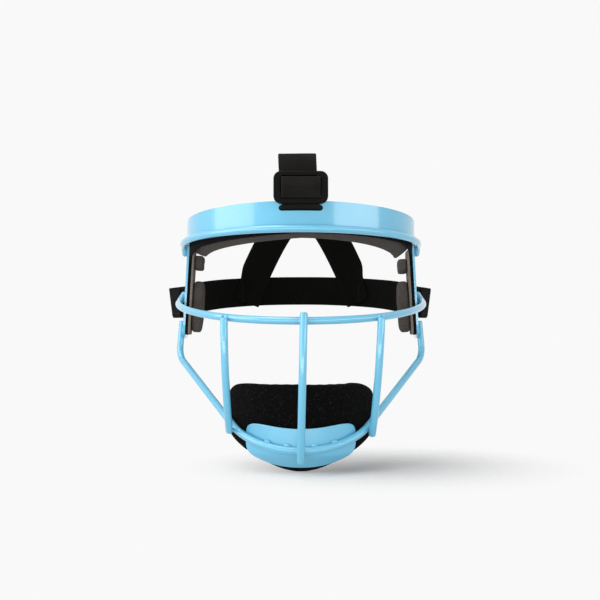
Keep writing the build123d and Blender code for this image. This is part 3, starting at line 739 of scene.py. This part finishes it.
def dress_node(node, material, eased=0.0):
    """Give a solid that stays its finish, and ease its edges."""
    nodes[node].data.materials.clear()
    nodes[node].data.materials.append(material)
    if eased:
        edge = nodes[node].modifiers.new("eased_edge", "BEVEL")
        edge.width = eased
        edge.segments = 2
        edge.limit_method = "ANGLE"
        edge.angle_limit = math.radians(50)


def dress_steel():
    """Powder coat on the welded cage, with the sheet's edges eased, and satin black on the buckle."""
    for node in ("brow_wire", "cheek_wire", "jaw_wire"):
        dress_node(node, POWDER)
    for node in ("brow_plate", "left_side_plate", "right_side_plate"):
        dress_node(node, POWDER, eased=0.0004)
    dress_node("tri_glide", PLASTIC)


def on_wire(wire, half_width, outside):
    """Point outside a wire's front bend, and the wire's way there."""
    reach, low, rise, radius = wire
    turn = math.asin(half_width / (radius + outside))
    back = Vector((0, math.cos(math.radians(rise)), math.sin(math.radians(rise))))
    centre = Vector((0, -reach, -low)) + back * radius
    spoke = Vector((math.sin(turn), 0, 0)) - back * math.cos(turn)
    return centre + spoke * (radius + outside), Vector((math.cos(turn), 0, 0)) + back * math.sin(turn)


def bar_stations(length):
    """Places along a bar where it has a ring, close together at its two rounded ends."""
    near_end = [0.0, 0.05, 0.15, 0.35, 0.6, 0.9, 1.2, 1.5, 1.9, 2.4, 3.0]
    plain = length - 2 * near_end[-1]
    between = [near_end[-1] + plain * k / 80 for k in range(1, 80)]
    return near_end + between + [length - place for place in reversed(near_end)]


def make_bar(name, head, foot, over, under):
    """Upright bar, bowed forwards between its welds and reaching past both wires, with rounded ends."""
    upper = on_wire(CHEEK_WIRE, head, 2 * WIRE + BAR_OFF_CHEEK)[0]
    lower = on_wire(JAW_WIRE, foot, 2 * WIRE + BAR_OFF_JAW)[0]
    bow = arc_through(upper, (upper + lower) / 2 - Vector((0, BAR_BOW, 0)), lower, 60)[0]
    top, bottom = (bow[0] - bow[1]).normalized(), (bow[-1] - bow[-2]).normalized()
    line = [upper + top * over * k / 3 for k in (3, 2, 1)] + bow
    line += [lower + bottom * under * k / 6 for k in range(1, 7)]
    run = Route(line, (1, 0, 0))
    stations = bar_stations(run.length)

    def ring(angle, share):
        place = stations[round(share * (len(stations) - 1))]
        round_over = max(0.0, BAR_ROUND - min(place, run.length - place))
        radius = WIRE - BAR_ROUND + math.sqrt(BAR_ROUND**2 - round_over**2)
        return radius * math.cos(angle), radius * math.sin(angle)

    bm = swept([run.at(place) for place in stations], ring, 28, (0, 1, 0))
    settled(finished(name + "_upright", bm, POWDER), "cage", "powder_coat", name + "_bar")


def make_bars():
    """Three bars, with their heads leaning a little to the left."""
    for bar in BARS:
        make_bar(*bar)


def chin_plate_height(x, up):
    """Height on the chin plate; up runs from -1 at its lower edge to 1 at its dipped top edge."""
    if up > 0:
        rise = CHIN_WAIST - CHIN_DIP * (1 - (x / CHIN_HALF) ** 2)
    else:
        rise = CHIN_LOW - CHIN_TOP - CHIN_WAIST
    return -CHIN_TOP - CHIN_WAIST + up * rise


def chin_lip(height):
    """How far in the chin plate is folded at a height."""
    under = max(0.0, CHIN_BEND / 2 - CHIN_FOLD - height)
    if under < CHIN_BEND:
        return under**2 / (2 * CHIN_BEND)
    return CHIN_BEND / 2 + (under - CHIN_BEND) * CHIN_LIP_SLOPE


def make_chin_plate():
    """Strip bent round the chin: lobed at its top corners, rounded below and folded in along that edge."""
    bm = bmesh.new()
    bmesh.ops.create_grid(bm, x_segments=90, y_segments=48, size=1.0)
    for vert in bm.verts:
        aside, up = vert.co.x, vert.co.y
        power = CHIN_TOP_CORNER if up > 0 else CHIN_LOW_CORNER
        spread = (abs(aside) ** power + abs(up) ** power) ** (1 / power)
        pull = max(abs(aside), abs(up)) / spread if spread else 1.0
        x = CHIN_HALF * aside * pull
        height = chin_plate_height(x, up * pull)
        radius = CHIN_RADIUS - chin_lip(height)
        turn = math.asin(max(-1.0, min(1.0, x / CHIN_RADIUS)))
        vert.co = Vector((radius * math.sin(turn), CHIN_AXIS - radius * math.cos(turn), height))
    bm.normal_update()
    bmesh.ops.solidify(bm, geom=list(bm.faces), thickness=SHEET)
    bmesh.ops.recalc_face_normals(bm, faces=bm.faces)
    soften_rim(bm, 0.5, 3)
    settled(finished("chin_strip", bm, POWDER), "cage", "powder_coat", "chin_plate")


def make_welds():
    """Beads where the bars cross the wires and where the wires end on the side plates."""
    bm = bmesh.new()
    flip = Matrix.Scale(-1, 4, (1, 0, 0))
    beside_bar, beside_wire, raised = 0.8, 0.7, 0.4
    for _, head, foot, _, _ in BARS:
        for wire, half_width in ((CHEEK_WIRE, head), (JAW_WIRE, foot)):
            at, way = on_wire(wire, half_width, WIRE)
            rise = math.radians(wire[2])
            upright = Vector((0, math.sin(rise), -math.cos(rise)))
            for side in (-1, 1):
                spot = at + way * side * WIRE * beside_bar
                weld_bead(bm, spot, upright, BAR_BEAD, BEAD, half_width + side)
    for back, up, lean, length in SIDE_WELDS:
        way = Vector((math.cos(math.radians(lean)), math.sin(math.radians(lean)), 0))
        beside = Vector((-way.y, way.x, 0)) * WIRE
        along = FROM_ARM.to_3x3() @ way
        for side in (-1, 1):
            spot = FROM_ARM @ (Vector((back, up, raised)) + beside * side * beside_wire)
            weld_bead(bm, spot, along, length, BEAD, back + side)
            weld_bead(bm, flip @ spot, flip.to_3x3() @ along, length, BEAD, back - side)
    settled(finished("weld_beads", bm, POWDER), "cage", "powder_coat")


def make_tacks():
    """Four tacks over the jaw wire, flowed onto the chin plate."""
    bm = bmesh.new()
    off_plate, forward, raised = 0.5, 0.6, 0.1
    for spacing in TACKS:
        at, way = on_wire(JAW_WIRE, spacing, 0)
        seat = CHIN_AXIS - math.sqrt((CHIN_RADIUS + off_plate) ** 2 - spacing**2)
        spot = spacing, seat - forward, at.z + WIRE + raised
        weld_bead(bm, spot, way, length=4.6, width=1.3, seed=spacing)
    settled(finished("chin_weld_tacks", bm, POWDER), "cage", "powder_coat", "chin_tacks")


# Foam


def make_brow_pad():
    """Foam strip round the forehead: crowned, drawn in at its edges, and falling to its ends."""
    low, high = PLATE_LOW - BROW_PAD_UNDER, PLATE_TOP - BROW_PAD_SHORT
    half = (high - low) / 2
    line = brow_line(SHEET + HOOK, low + half, BROW_PAD_TURN, 150)
    length = 2 * math.radians(BROW_PAD_TURN) * BROW_SIDE_RADIUS
    crease, creases, crease_gain = 0.5, 75.0, 2.5
    strap_share, strap_low, strap_room = 0.118, -0.6, 4.2
    tuck, droop, end_round = 5.0, 5.5, 6.0

    def ring(angle, share):
        side, lift = squared(angle, 0.5)
        out = 2 * share - 1
        fold = crease * noise.noise(Vector((share * creases, angle * 0.6, 3.0)))
        close = closing(share, length, end_round)
        depth = BROW_PAD_THICK / 2 * (1 + side * close)
        if abs(out) < strap_share and lift > strap_low:
            depth = max(depth, strap_room)
        drawn_in = tuck * (1 - depth / BROW_PAD_THICK) * max(0.0, -lift)
        sag = droop * max(0.0, out) ** FALL_POWER * depth / BROW_PAD_THICK
        rise = lift * half * close + drawn_in - brow_fall(out) - sag
        return depth + fold * min(1.0, crease_gain * abs(out)) * max(0.0, side), rise

    pad = finished("brow_foam", swept(line, ring, 56), FOAM)
    settled(pad, "cage", "foam", "brow_pad")


def make_hook_bands():
    """Hook tape between the steel and the foam, at the brow, the chin and the temples."""
    low, high = PLATE_LOW - BROW_TAPE_UNDER, PLATE_TOP - BROW_TAPE_SHORT
    tape = HOOK - 2 * THIN
    line = brow_line(SHEET + HOOK / 2, (low + high) / 2, BROW_TAPE_TURN)
    for index, point in enumerate(line):
        out = 2 * index / (len(line) - 1) - 1
        # The black tape's extra fall near the ends is partly real tape and partly stands in for shade under
        # the pad.
        point.z -= brow_fall(out) + TAPE_FALL * max(0.0, abs(out) - TAPE_FALL_FROM) / (1 - TAPE_FALL_FROM)
    band = strap_piece("brow_hook_band", Route(line, (0, 0, 1)), high - low, tape, HOOK_TAPE, step=3.0)
    settled(band, "cage", "hook_tape", "brow_hook")
    line = chin_line(CHIN_RADIUS - SHEET - HOOK / 2, CHIN_TAPE_TURN, -CHIN_TAPE_HEIGHT, 30)
    band = strap_piece("chin_hook_band", Route(line, (0, 0, 1)), CHIN_TAPE_WIDE, tape, HOOK_TAPE, step=3.0)
    settled(band, "cage", "hook_tape", "chin_hook")
    # Side tapes: real hook tape, thickened so that their black also stands in for the shade between plate
    # and liner.
    spot = SIDE_PAD_BACK, SIDE_TAPE_RAISED - SIDE_PAD_DOWN, -SHEET - THIN - SIDE_TAPE_AND_SHADE / 2
    for side in ("left", "right"):
        size = SIDE_TAPE_WIDE, SIDE_TAPE_LONG, SIDE_TAPE_AND_SHADE
        bm = soft_block(size, FROM_ARM @ Matrix.Translation(spot), power=14.0, cuts=14)
        band = finished(side + "_hook_band", bm, HOOK_TAPE, side == "right")
        settled(band, "cage", "hook_tape", side + "_side_hook")


def make_side_pads():
    """Foam liner with its pale cut edge, and the temple and ribbed cheek cushions, on both sides."""
    face_in = Matrix.Rotation(math.pi, 4, "Y")
    tape = SHEET + SIDE_TAPE_AND_SHADE + 2 * THIN
    skin = SHEET + HOOK + LINER
    for side, seed, temple_drop in (("left", 0.0, 9.0), ("right", 4.0, 6.5)):
        mirrored = side == "right"
        place = FROM_ARM @ Matrix.Translation((SIDE_PAD_BACK, -SIDE_PAD_DOWN, -(skin + tape) / 2)) @ face_in
        bm = soft_block((LINER_WIDE, LINER_LONG, skin - tape), place, power=9.0, lumps=0.04, seed=seed)
        liner = finished(side + "_liner_foam", bm, CUT_FOAM, mirrored)
        settled(liner, "cage", "foam", side + "_side_liner")
        for name, drop, length, thick, ribs in (
            ("temple", temple_drop, 11.0, 6.7, 1),
            ("cheek", 26.0, 39.0, 8.5, 2),
        ):
            spot = SIDE_PAD_BACK, -drop - length / 2, -skin - thick / 2
            place = FROM_ARM @ Matrix.Translation(spot) @ face_in
            size = CUSHION_WIDE, length, thick + CUSHION_OVERLAP
            bm = soft_block(size, place, 4.4, ribs, depth=0.34, lumps=0.10, seed=seed + drop, cuts=30)
            pad = finished(side + "_" + name + "_foam", bm, FOAM, mirrored)
            settled(pad, "cage", "foam", side + "_" + name + "_cushion")


def chin_pad_edges(x):
    """Heights of the chin pad's top and bottom edges at a distance from the middle."""
    corner = max(0.0, abs(x) - (CHIN_PAD_HALF - CHIN_PAD_CORNER)) / CHIN_PAD_CORNER
    top = CHIN_PAD_TOP + CHIN_PAD_CORNER * (1 - math.sqrt(max(0.0, 1 - min(1.0, corner) ** 2)))
    deep = max(0.0, 1 - (abs(x) / CHIN_PAD_HALF) ** 2) ** 0.75
    return -top, -(CHIN_PAD_WAIST + (CHIN_PAD_LOW - CHIN_PAD_WAIST) * deep)


def make_chin_pad():
    """Fleece-faced cup behind the chin plate, rounded at its rims and curled in under the chin."""
    turn = math.degrees(math.asin(CHIN_PAD_HALF / CHIN_PAD_RADIUS))
    line = chin_line(CHIN_PAD_RADIUS, turn, 0, 120)
    length = 2 * math.radians(turn) * CHIN_PAD_RADIUS
    splay, splay_run = 2.2, 12.0
    for point in line:
        beyond = min(1.0, max(0.0, abs(point.x) - CHIN_HALF) / splay_run)
        point.x += math.copysign(splay * beyond * beyond * (3 - 2 * beyond), point.x)
    tuck_from, tuck_slope = CHIN_FOLD - 2.2, 7.0 / 12.0
    curl_from, curl_run, curl = 94.6, 17.0, 5.2

    def ring(angle, share):
        side, lift = squared(angle, 0.42)
        close = closing(share, length, 3.5)
        x = CHIN_PAD_RADIUS * math.sin(math.radians(turn) * (2 * share - 1))
        top, low = chin_pad_edges(x)
        top += 0.7 * noise.noise(Vector((x / 7.0, 0, 1.0)))
        height = (top + low) / 2 + lift * ((top - low) / 2 - 1.6 * (1 - close))
        outer = 0.1 + tuck_slope * max(0.0, -tuck_from - height)
        inner = CHIN_PAD_THICK + curl * max(0.0, min(1.0, (-curl_from - height) / curl_run))
        lump = 0.35 * noise.noise(Vector((x / 9.0, height / 9.0, 7.0)))
        middle, half = (outer + inner) / 2, (inner - outer) / 2
        return middle + side * half * close + lump * max(0.0, side), height

    pad = finished("chin_foam_cup", swept(line, ring, 72), FLEECE)
    settled(pad, "cage", "chin_foam", "chin_pad")


# Straps


def kept_inside(spot):
    """Lay a point of a V strap on the inside of the elastic, and free it over a stretch above and below."""
    margin, free_run = 0.8, 16.0
    local = FROM_HARNESS.inverted() @ spot
    spoke = Vector((local.x, local.y - HARNESS_BACK, 0))
    limit = HARNESS_RADIUS - STRAP - 0.1
    clear = min(1.0, max(0.0, (abs(local.z) - STRAP_WIDTH / 2 - margin) / free_run))
    if spoke.length > limit:
        spoke *= 1 + (limit / spoke.length - 1) * (1 - clear * clear * (3 - 2 * clear))
    return FROM_HARNESS @ Vector((spoke.x, spoke.y + HARNESS_BACK, local.z))


def make_harness():
    """Elastic round the back of the head, and the V straps sewn inside it."""
    upright = FROM_HARNESS.to_3x3() @ Vector((0, 0, 1))
    route = Route(harness_line(STRAP / 2), upright)
    piece = strap_piece("back_elastic", route, STRAP_WIDTH, STRAP, ELASTIC, ripple=0.7, seed=2.0)
    settled(piece, "harness", "elastic", "back_strap")
    line, across = arc_through(V_FOOT, V_MIDDLE, V_TOP, 40)
    line = [V_FOOT - (line[1] - line[0]).normalized() * V_FOOT_HIDDEN] + line
    for side, aside in (("left", V_ASIDE), ("right", -V_ASIDE)):
        name, mirrored = side + "_v_elastic", side == "right"
        route = Route([p + Vector((aside, 0, 0)) for p in line], across, V_FOOT_TURN)
        piece = strap_piece(name, route, V_WIDTH, STRAP, ELASTIC, mirrored, ripple=0.8, fit=kept_inside)
        settled(piece, "harness", "elastic", side + "_v_strap")


def make_crown():
    """Webbing over the crown: up from the slot behind the plate, folded and run back to the V straps."""
    behind, front = -81.26, -83.85
    points = (
        (-0.4, behind, 58.3),
        (-0.9, behind, 64.8),
        (-1.5, front, 70.8),
        (-2.5, front, 93.3),
        (-2.2, -10.0, 96.7),
        (-0.9, 48.04, 97.2),
        (0.0, 77.0, 80.6),
    )
    bends = (3.0, 3.0, 5.0, 90.0, 40.0)
    route = Route(rounded(points, bends, 8), (1, 0, 0))
    piece = strap_piece("crown_webbing", route, STRAP_WIDTH, STRAP, WEBBING, ripple=0.5, seed=8.0)
    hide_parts("crown_strap")
    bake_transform(piece)


def make_buckle_straps():
    """Front layer of the webbing up from the slot, and its turn over the buckle's bars."""
    inside, front, glide = -80.4, -86.25, CROWN_SLOT + 12.7
    points = [(0, inside, CROWN_SLOT), (0, front, CROWN_SLOT), (0, front, glide)]
    route = Route(rounded(points, (1.25,)), (1, 0, 0))
    piece = strap_piece("anchor_webbing", route, STRAP_WIDTH, STRAP, WEBBING, step=0.8)
    settled(piece, "cage", "webbing", "anchor_strap")
    back = front - STRAP / 2 - SOFT_GAP - 1.1
    points = [(0, back, glide - 6.7), (0, back - 1.6, glide - 6.2), (0, back - 4.3, glide + 0.6)]
    points += [(0, back - 2.6, glide + 6.1), (0, back, glide + 6.7)]
    route = Route(rounded(points, (1.0, 4.0, 1.4)), (1, 0, 0))
    piece = strap_piece("buckle_webbing", route, STRAP_WIDTH + 0.5, STRAP, WEBBING, step=0.7, ripple=0.15)
    settled(piece, "buckle", "webbing", "strap_bight")


def make_slot_turns():
    """Elastic turned through the side slots."""
    middle, bar = -SHEET / 2, ARM_WIDTH - SLOT_BACK_BAR
    leg = SHEET / 2 + SOFT_GAP + STRAP / 2
    turn = arc((bar, 0, middle), (bar, 0, middle + leg), (0, -1, 0), 180, 10)
    line = [Vector((SLOT_TURN_END, 0, middle + leg))] + turn + [Vector((SLOT_TURN_END, 0, middle - leg))]
    points = [FROM_ARM @ (p - Vector((0, SLOT_DOWN, 0))) for p in line]
    for side in ("left", "right"):
        route = Route(points, ARM_UP)
        name, mirrored = side + "_slot_turn", side == "right"
        piece = strap_piece(name, route, STRAP_WIDTH, STRAP, ELASTIC, mirrored, step=0.9)
        settled(piece, "cage", "elastic", side + "_slot_fold")


def make_tabs():
    """Free ends of the elastic, flared and a little twisted, with their hook patches inside."""
    hinge = Vector((SLOT_TURN_END + SOFT_GAP + STRAP / 2, -SLOT_DOWN, SOFT_GAP + STRAP / 2))
    for side, flare in (("left", 20.0), ("right", 22.0)):
        mirrored = side == "right"
        bend = arc(hinge + Vector((0, 0, TAB_BEND)), hinge, (0, -1, 0), flare, 6)
        way = Vector((math.cos(math.radians(flare)), 0, math.sin(math.radians(flare))))
        straight = [bend[-1] + way * (TAB_RUN * k / 12) for k in range(1, 13)]
        tab = Route([FROM_ARM @ p for p in bend + straight], ARM_UP, 0.0, TAB_TWIST)
        name = side + "_free_tab"
        piece = strap_piece(name, tab, STRAP_WIDTH, STRAP, ELASTIC, mirrored, ripple=0.5, seed=11.0)
        settled(piece, side + "_tab", "elastic", side + "_strap_tab")
        tip = tab.length - TAB_HOOK_INSET
        base = tip - TAB_HOOK
        inside = tab.normal(tip) * (STRAP + HOOK) / 2
        twist = TAB_TWIST * TAB_HOOK / tab.length
        patch = Route([tab.at(base) + inside, tab.at(tip) + inside], tab.across(base), 0.0, twist)
        name = side + "_tab_hooks"
        piece = strap_piece(name, patch, STRAP_WIDTH - 3, HOOK, HOOK_TAPE, mirrored, step=2.0)
        settled(piece, side + "_tab", "hook_tape", side + "_tab_hook")


def make_stitching():
    """Two rows of thread across each end of the elastic that holds a V strap."""
    bm = bmesh.new()
    for sign in (-1, 1):
        for bearing in SEAM_BEARINGS:
            angle = math.radians(bearing * sign)
            spoke = Vector((math.sin(angle), math.cos(angle), 0))
            for skin in (HARNESS_RADIUS + 0.05, HARNESS_RADIUS - 2 * STRAP - 0.15):
                middle = Vector((0, HARNESS_BACK, 0)) + spoke * skin
                rise = Vector((0, 0, SEAM_HALF))
                low, high = FROM_HARNESS @ (middle - rise), FROM_HARNESS @ (middle + rise)
                stitch_row(bm, low, high, FROM_HARNESS.to_3x3() @ spoke)
    settled(finished("harness_stitching", bm, THREAD), "harness", "elastic")


# Studio

# The floor, how bright the background and the fill are, the table, and the oval of it that keeps its shadow
FLOOR = cad_box[0].z
PAPER = 0.947
FILL = 0.45
TABLE_RADIUS = 2.5
SHADOW_MIDDLE = (0.040, -0.074, FLOOR)
SHADOW_SQUEEZE = (0.7, 1.2, 1.0)

# What the lights face
AIM = Vector((0, -0.03, 0))

# Camera: its distance, and the photograph's width and the guard's place off its middle in pixels
CAMERA_BACK = 0.633
FRAME_WIDE = 600
OFF_MIDDLE = -0.8


def softbox(name, bearing, height, distance, width, tall, radiance):
    """Large soft light facing the guard. Its bearing from the front is negative on the picture's left."""
    data = bpy.data.lights.new(name, "AREA")
    data.shape = "RECTANGLE"
    data.size = width
    data.size_y = tall
    data.energy = radiance * width * tall * math.pi
    light = bpy.data.objects.new(name, data)
    turn = math.radians(bearing)
    light.location = (distance * math.sin(turn), -distance * math.cos(turn), height)
    light.rotation_euler = (AIM - light.location).to_track_quat("-Z", "Y").to_euler()
    bpy.context.scene.collection.objects.link(light)


def background_rays(tree):
    """1 for the rays that meet the pale background: the camera's, those let through, those off a gloss."""
    path = tree.nodes.new("ShaderNodeLightPath")
    shown = maths(tree, "MAXIMUM", path.outputs["Is Camera Ray"], path.outputs["Is Transmission Ray"])
    return maths(tree, "MAXIMUM", shown, path.outputs["Is Glossy Ray"])


def table_finish():
    """Matt paper, faded away outside an oval round the guard's shadow."""
    finish = Finish("table_paper", 1.0, 0.0)
    mottle = finish.use(MOTTLE, Cloud_Scale=3.0, Grain_Scale=60.0)
    finish.colour(mottle["Cloud"], (0.715, 0.715, 0.715), (0.72, 0.72, 0.72))
    tree = finish.tree
    oval = tree.nodes.new("ShaderNodeVectorMath")
    oval.operation = "MULTIPLY"
    oval.inputs[1].default_value = SHADOW_SQUEEZE
    tree.links.new(finish.where.outputs["Object"], oval.inputs[0])
    length = tree.nodes.new("ShaderNodeVectorMath")
    length.operation = "DISTANCE"
    length.inputs[1].default_value = SHADOW_MIDDLE
    tree.links.new(oval.outputs[0], length.inputs[0])
    fade = tree.nodes.new("ShaderNodeMapRange")
    fade.interpolation_type = "SMOOTHSTEP"
    for label, value in (("From Min", 0.01), ("From Max", 0.105), ("To Min", 0.05), ("To Max", 1.0)):
        fade.inputs[label].default_value = value
    tree.links.new(length.outputs["Value"], fade.inputs["Value"])
    faded = maths(tree, "MULTIPLY", fade.outputs["Result"], background_rays(tree))
    tree.links.new(maths(tree, "SUBTRACT", 1.0, faded), finish.shader.inputs["Alpha"])
    return finish.material


def make_table():
    """White table that fades into the background and keeps the guard's shadow."""
    bm = bmesh.new()
    bmesh.ops.create_circle(bm, cap_ends=True, segments=96, radius=TABLE_RADIUS)
    bmesh.ops.translate(bm, vec=(0, 0, FLOOR), verts=bm.verts)
    mesh = bpy.data.meshes.new("studio_table")
    bm.to_mesh(mesh)
    bm.free()
    mesh.materials.append(table_finish())
    table = bpy.data.objects.new("studio_table", mesh)
    bpy.context.scene.collection.objects.link(table)


def make_world():
    """Pale background to the camera and in reflections, and an even fill for the surfaces."""
    world = bpy.data.worlds.new("studio")
    bpy.context.scene.world = world
    world.use_nodes = True
    tree = world.node_tree
    seen = tree.nodes["Background"]
    seen.inputs["Color"].default_value = (PAPER, PAPER, PAPER, 1)
    fill = tree.nodes.new("ShaderNodeBackground")
    fill.inputs["Color"].default_value = (1, 1, 1, 1)
    fill.inputs["Strength"].default_value = FILL
    mix = tree.nodes.new("ShaderNodeMixShader")
    tree.links.new(background_rays(tree), mix.inputs["Fac"])
    tree.links.new(fill.outputs[0], mix.inputs[1])
    tree.links.new(seen.outputs[0], mix.inputs[2])
    tree.links.new(mix.outputs[0], tree.nodes["World Output"].inputs["Surface"])


def make_camera():
    """Camera where the photographer's was, level with the middle of the guard."""
    data = bpy.data.cameras.new("camera")
    data.lens = 50.0
    data.sensor_width = 36.0
    data.shift_x = OFF_MIDDLE / FRAME_WIDE
    camera = bpy.data.objects.new("camera", data)
    camera.location = (0, -CAMERA_BACK, 0)
    camera.rotation_euler = (math.radians(90), 0, 0)
    bpy.context.scene.collection.objects.link(camera)
    bpy.context.scene.camera = camera
    bpy.context.scene.view_settings.view_transform = "Standard"


make_camera()
dress_steel()
make_bars()
make_chin_plate()
make_welds()
make_tacks()
make_brow_pad()
make_hook_bands()
make_side_pads()
make_chin_pad()
make_harness()
make_crown()
make_buckle_straps()
make_slot_turns()
make_tabs()
make_stitching()
make_table()
make_world()
softbox("left_softbox", -66.0, height=0.36, distance=1.0, width=0.85, tall=0.85, radiance=2.9)
softbox("right_softbox", 54.0, height=0.25, distance=1.15, width=1.0, tall=0.34, radiance=3.4)
softbox("overhead_softbox", -50.0, height=1.0, distance=0.35, width=0.7, tall=0.7, radiance=3.6)
softbox("front_card", -8.0, height=-0.045, distance=0.8, width=1.2, tall=0.13, radiance=5.2)
